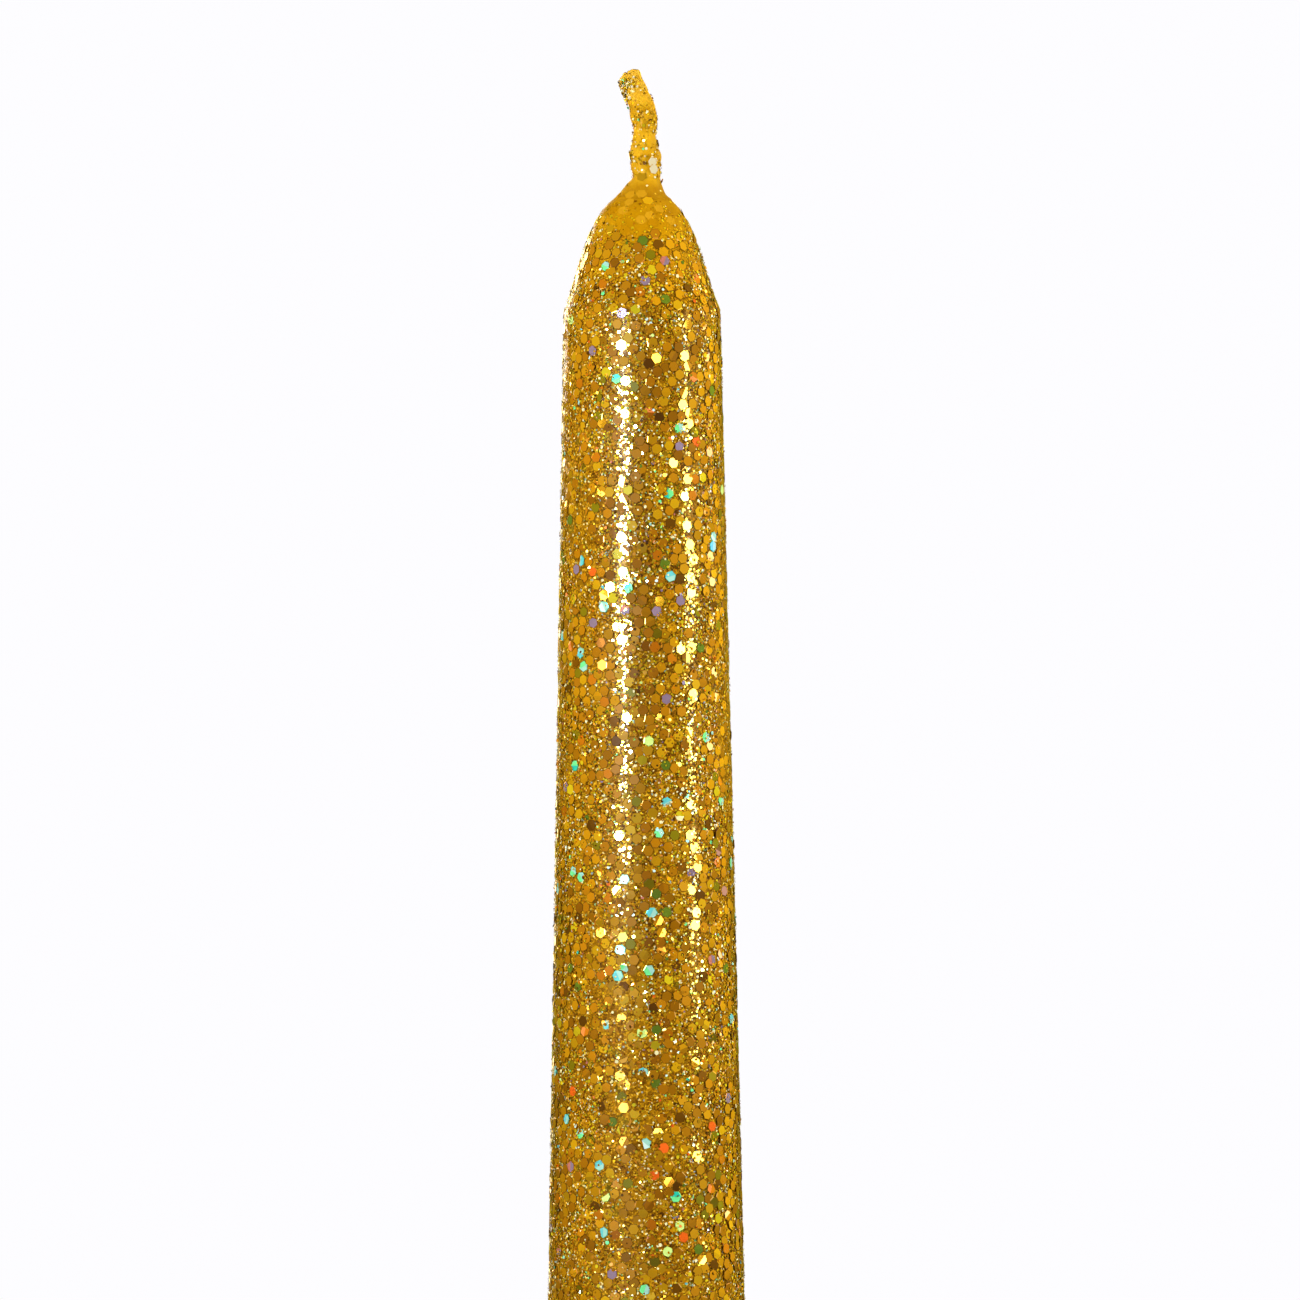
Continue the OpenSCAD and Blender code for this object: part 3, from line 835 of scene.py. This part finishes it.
def wick_glitter():
    """Dust on the free end, thickest on the cut end, and a few large flakes near its root."""
    x, z, r, tx, tz = wick_line(200)
    n = 470
    # height along the line: more near the end and in two rings of dust lower down
    pick = np.concatenate([
        199 - np.abs(rng.normal(0, 15, 200)), rng.normal(150, 10, 60), rng.normal(128, 12, 70), rng.normal(88, 14, 90), rng.uniform(30, 199, 50),
    ])
    k = np.clip(pick, 22, 199)
    k0 = k.astype(int)
    a = rng.random(n) * 2 * np.pi
    a[:200] = np.pi + 0.40 + rng.normal(0, 0.62, 200)  # on the end they gather on its left side, towards the front
    X, Z, R, TX, TZ = x[k0], z[k0], r[k0], tx[k0], tz[k0]
    nr = np.stack([np.cos(a) * TZ, 0.94 * np.sin(a), -np.cos(a) * TX], -1)
    pt = np.stack([X, np.zeros(n), Z], -1) + nr * R[:, None]
    nr /= np.linalg.norm(nr, axis=1, keepdims=True)
    up = np.stack([TX, np.zeros(n), TZ], -1)
    tg = np.cross(up, nr)
    # on the ragged cut end the grains stand up
    end = np.arange(n) < 200
    sd = np.where(end, math.radians(26), math.radians(12))
    tone = np.where(end, rng.choice(len(TONES), n, p=END_DUST), rng.choice(len(TONES), n, p=DUST))
    g = flakes("wick_dust", pt, nr, tg, up, np.where(end, 0.215, 0.185) * np.exp(rng.normal(0, 0.2, n)), rng.uniform(0.02, 0.07, n),
               rng.normal(0, 1, n) * sd, rng.normal(0, 1, n) * sd, rng.random(n) * np.pi, tone)
    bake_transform(g)
    # the finest dust: brown and gold, thick round the lower half and in a ring above it
    k0 = np.clip(np.concatenate([
        rng.uniform(50, 108, 290), rng.normal(132, 9, 120), rng.normal(168, 6, 40), 199 - np.abs(rng.normal(0, 14, 130)),
    ]), 40, 199).astype(int)
    n = len(k0)
    a = rng.random(n) * 2 * np.pi
    a[-130:] = np.pi + 0.40 + rng.normal(0, 0.70, 130)
    TX, TZ = tx[k0], tz[k0]
    nr = np.stack([np.cos(a) * TZ, 0.94 * np.sin(a), -np.cos(a) * TX], -1)
    pt = np.stack([x[k0], np.zeros(n), z[k0]], -1) + nr * r[k0][:, None]
    nr /= np.linalg.norm(nr, axis=1, keepdims=True)
    up = np.stack([TX, np.zeros(n), TZ], -1)
    sd = math.radians(14)
    g = flakes("wick_fine_dust", pt, nr, np.cross(up, nr), up, 0.115 * np.exp(rng.normal(0, 0.2, n)), rng.uniform(0.03, 0.075, n),
               rng.normal(0, sd, n), rng.normal(0, sd, n), rng.random(n) * np.pi, rng.choice(len(TONES), n, p=WICK_FINE), corners=4)
    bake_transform(g)
    # large flakes: angle from +X seen from above (-90 faces the photo's camera), height, tone, tilts, width
    big = [
        (-66, 241.60, "pearl", 2, -3, 0.78), (-62, 240.98, "pearl", 3, 3, 0.80), (-108, 240.44, "moss", 2, 16, 0.78),
        (-8, 240.12, "bronze", 24, -20, 0.40), (70, 241.6, "gold", 4, 4, 0.84), (120, 240.7, "honey", -6, 3, 0.84),
        (165, 242.3, "ochre", 3, -5, 0.84), (30, 243.2, "gold", 2, 7, 0.84),
    ]
    # pale flakes under the wax of the skirt, where it spreads into the tip
    skirt = [
        (-121, 238.86, "veil"), (-95, 238.93, "veil"), (-80, 238.35, "honey"), (-113, 238.22, "veil"),
        (38, 238.4, "veil"), (95, 238.75, "veil"), (150, 238.3, "veil_deep"), (190, 238.8, "veil"),
    ]
    names = TONE_NAMES
    pts, nrs, tgs, ups, tone, ta, tb = [], [], [], [], [], [], []
    for deg, zc, nm, t1, t2, _ in big:
        i = int(np.argmin(abs(z - zc)))
        aa = math.radians(deg)
        nv = np.array([math.cos(aa) * tz[i], 0.94 * math.sin(aa), -math.cos(aa) * tx[i]])
        pts.append(np.array([x[i], 0, z[i]]) + nv * r[i])
        nv /= np.linalg.norm(nv)
        uv = np.array([tx[i], 0, tz[i]])
        nrs.append(nv)
        ups.append(uv)
        tgs.append(np.cross(uv, nv))
        tone.append(names.index(nm))
        ta.append(math.radians(t1))
        tb.append(math.radians(t2))
    for deg, zc, nm in skirt:
        i = int(np.argmin(abs(z - zc)))
        p0, n0, t0, u0 = frames(np.array([zc]), np.array([math.radians(deg)]))
        pts.append(p0[0] + np.array([x[i], 0.0, 0.0]))
        nrs.append(n0[0])
        tgs.append(t0[0])
        ups.append(u0[0])
        tone.append(names.index(nm))
        ta.append(0.0)
        tb.append(0.0)
    m = len(pts)
    lift = np.array([0.085, 0.11, 0.13, 0.10, 0.05, 0.06, 0.10, 0.10] + [0.022] * len(skirt))
    wide = np.array([b[5] for b in big] + [0.84] * len(skirt))
    sunk = np.arange(m) >= len(big)
    ob = flakes("wick_flakes", np.array(pts), np.array(nrs), np.array(tgs), np.array(ups), wide, lift,
                np.array(ta), np.array(tb), rng.random(m) * np.pi, np.array(tone), thick=0.025, sunk=sunk)
    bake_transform(ob)
    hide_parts("wick_end_flakes")


body_flakes()
fine_grains("fine_glitter", 34000, 1, 6, 0.245, SHARE_FINE, 3.0, 10.0)
fine_grains("glitter_dust", 250000, 4, 4, 0.130, SHARE_DUST, 2.6, 11.0)
wick_glitter()

# ---------------------------------------------------------------- CAD nodes that show as they are
for name, node in frame["nodes"].items():
    mat = IVORY if name == "wax_core" else COTTON if "strand" in name else None
    if mat is not None:
        node.data.materials.clear()
        node.data.materials.append(mat)

# ---------------------------------------------------------------- floor, light, camera
def floor():
    n, rings = 96, [0.02, 0.06, 0.12, 0.25, 0.5, 0.9, 1.4, 1.9, 2.4]
    a = np.linspace(0, 2 * np.pi, n, endpoint=False)
    co = [np.zeros((1, 3))] + [np.stack([r * np.cos(a), r * np.sin(a), np.zeros(n)], -1) for r in rings]
    co = np.concatenate(co)
    tri = np.stack([np.zeros(n, int), 1 + np.arange(n), 1 + (np.arange(n) + 1) % n], -1)
    q = grid_faces(len(rings), n) + 1
    q = q[:, ::-1]
    ob = new_mesh("floor", co, np.concatenate([tri.ravel(), q.ravel()]), np.concatenate([np.full(n, 3), np.full(len(q), 4)]), smooth=True)
    m, nd, p = material("floor")
    tc = nd.add("ShaderNodeTexCoord")
    ln = nd.add("ShaderNodeVectorMath", operation="LENGTH")
    nd.link(tc.outputs["Object"], ln.inputs[0])
    far = nd.span(ln.outputs["Value"], 0.15, 0.9, 0.0, 1.0, True)
    # the floor runs into the white sweep only as a backdrop: it doesn't shine on the candle
    seen = nd.add("ShaderNodeLightPath")
    far = nd.math("MULTIPLY", far, seen.outputs["Is Camera Ray"])
    # in the film it looks as warm as the room
    nd.link(nd.mix(seen.outputs["Is Glossy Ray"], (0.52, 0.52, 0.52), (0.50, 0.44, 0.05)), p.inputs["Base Color"])
    p.inputs["Roughness"].default_value = 0.6
    p.inputs["Specular IOR Level"].default_value = 0.0
    glow = nd.add("ShaderNodeEmission")
    glow.inputs["Color"].default_value = (0.985, 0.98, 1.0, 1)
    glow.inputs["Strength"].default_value = 1.0
    mix = nd.add("ShaderNodeMixShader")
    nd.link(far, mix.inputs[0])
    nd.link(p.outputs[0], mix.inputs[1])
    nd.link(glow.outputs[0], mix.inputs[2])
    out = [k for k in m.node_tree.nodes if k.type == "OUTPUT_MATERIAL"][0]
    nd.link(mix.outputs[0], out.inputs["Surface"])
    ob.data.materials.append(m)


floor()


def world():
    w = bpy.data.worlds.new("studio")
    bpy.context.scene.world = w
    w.use_nodes = True
    t = w.node_tree
    t.nodes.clear()
    n = Nodes(t)
    tc = n.add("ShaderNodeTexCoord")
    s = n.add("ShaderNodeSeparateXYZ")
    n.link(tc.outputs["Generated"], s.inputs[0])
    # light by compass direction: a white sweep behind, dimmer sides, and a dark room round the photo's camera
    turn = n.math("ARCTAN2", s.outputs[0], n.math("MULTIPLY", s.outputs[1], -1.0))
    turn = n.span(turn, -math.pi, math.pi, 0.0, 1.0)
    plain, yellow, red, gold = (1.0, 0.985, 0.97), (0.955, 1.08, 0.90), (1.03, 0.925, 0.80), (0.985, 1.035, 0.95)
    room = n.ramp(turn, [((d + 180) / 360, (v * tint[0], v * tint[1], v * tint[2])) for d, v, tint in (
        (-180, 1.20, plain), (-168, 0.95, plain), (-156, 0.42, plain), (-138, 0.49, plain), (-120, 0.67, plain),
        (-88, 0.80, plain), (-50, 0.79, gold), (-22, 0.74, yellow), (-12, 0.64, yellow), (-3, 0.46, plain),
        (13, 0.44, red), (24, 0.63, plain), (52, 0.75, gold), (88, 0.91, gold), (112, 1.00, gold),
        (124, 1.15, gold), (134, 1.02, plain), (146, 0.50, plain), (166, 0.38, plain), (180, 1.10, plain),
    )])
    low = n.math("MULTIPLY", n.span(s.outputs[2], -0.025, 0.012, 0.80, 1.0), n.span(s.outputs[2], -0.03, 0.06, 0.90, 1.04))
    room = n.vmath("SCALE", room, scale=low)
    # overhead it is lighter on the right
    over = n.add("ShaderNodeRGB")
    over.outputs[0].default_value = (1.0, 0.99, 0.98, 1.0)
    over = n.vmath("SCALE", over.outputs[0], scale=n.span(s.outputs[0], -0.5, 0.5, 0.56, 1.06))
    high = n.span(s.outputs[2], 0.30, 0.80, 0.0, 1.0, True)
    col = n.mix(high, room, over)
    lp = n.add("ShaderNodeLightPath")
    warm = n.mix(1.0, col, (1.0, 0.90, 0.06), "MULTIPLY")
    col = n.mix(lp.outputs["Is Glossy Ray"], col, warm)
    bg = n.add("ShaderNodeBackground")
    n.link(col, bg.inputs["Color"])
    white = n.add("ShaderNodeBackground")
    white.inputs["Color"].default_value = (0.985, 0.98, 1.0, 1)
    mix = n.add("ShaderNodeMixShader")
    n.link(lp.outputs["Is Camera Ray"], mix.inputs[0])
    n.link(bg.outputs[0], mix.inputs[1])
    n.link(white.outputs[0], mix.inputs[2])
    out = n.add("ShaderNodeOutputWorld")
    n.link(mix.outputs[0], out.inputs["Surface"])


world()


def strip(name, azimuth, distance, z, wide, high, radiance, tint=(1, 1, 1), fill=False):
    """A strip light that draws a highlight, or a soft box that fills. Azimuth is measured round the candle from the
    photo's camera, positive to the right."""
    l = bpy.data.lights.new(name, "AREA")
    l.shape = "RECTANGLE"
    l.size, l.size_y = wide, high
    l.energy = radiance * math.pi * wide * high
    l.color = tint
    o = bpy.data.objects.new(name, l)
    bpy.context.scene.collection.objects.link(o)
    a = math.radians(azimuth)
    o.location = (distance * math.sin(a), -distance * math.cos(a), z)
    aim = Vector((0, 0, z)) - o.location
    o.rotation_euler = aim.to_track_quat("-Z", "Y").to_euler()
    o.visible_camera = False
    o.visible_glossy = not fill
    o.visible_diffuse = fill
    return o


strip("strip_left", -27, 0.25, 0.2305, 0.0400, 0.063, 130.0, (0.52, 0.76, 1.0))
strip("strip_left_foot", -27, 0.25, 0.1700, 0.0120, 0.057, 7.0, (0.8, 0.9, 1.0))
strip("strip_right", 66, 0.25, 0.216, 0.0460, 0.092, 12.5, (0.48, 0.72, 1.0))
strip("strip_side", 109, 0.8, 0.285, 0.050, 0.23, 8.5, (0.20, 0.25, 1.0))
strip("sliver_left", -60, 0.8, 0.285, 0.018, 0.23, 6.0)
strip("sliver_front", 22, 0.8, 0.25, 0.012, 0.24, 6.0)
# far bars above the level of the flakes' own reflections: only grains that lean catch them
strip("bar_left", -88, 4.0, 1.16, 3.5, 0.16, 5.0)
strip("bar_right", 112, 4.0, 1.16, 3.5, 0.16, 5.0)
strip("rim_left", -164, 0.8, 0.30, 0.07, 0.50, 2.5)
strip("rim_high", -153, 0.8, 0.357, 0.29, 0.20, 7.0)
strip("rim_tip", -168, 0.8, 0.80, 0.10, 0.30, 3.2)
strip("box_left", -42, 0.42, 0.30, 0.20, 0.20, 40.0, fill=True)
strip("box_right", 80, 0.42, 0.30, 0.20, 0.20, 36.5, fill=True)

cam_data = bpy.data.cameras.new("camera")
cam = bpy.data.objects.new("camera", cam_data)
bpy.context.scene.collection.objects.link(cam)
D = 0.90
cam_data.sensor_width = 36.0
cam_data.lens = 36.0 * D / 0.10833
cam.location = (0.00054, -D, 0.2010)
cam.rotation_euler = (math.radians(90.0), math.radians(0.26), 0.0)
cam_data.clip_start, cam_data.clip_end = 0.01, 50.0
bpy.context.scene.camera = cam

bpy.context.scene.view_settings.view_transform = "Standard"
bpy.context.scene.view_settings.look = "None"
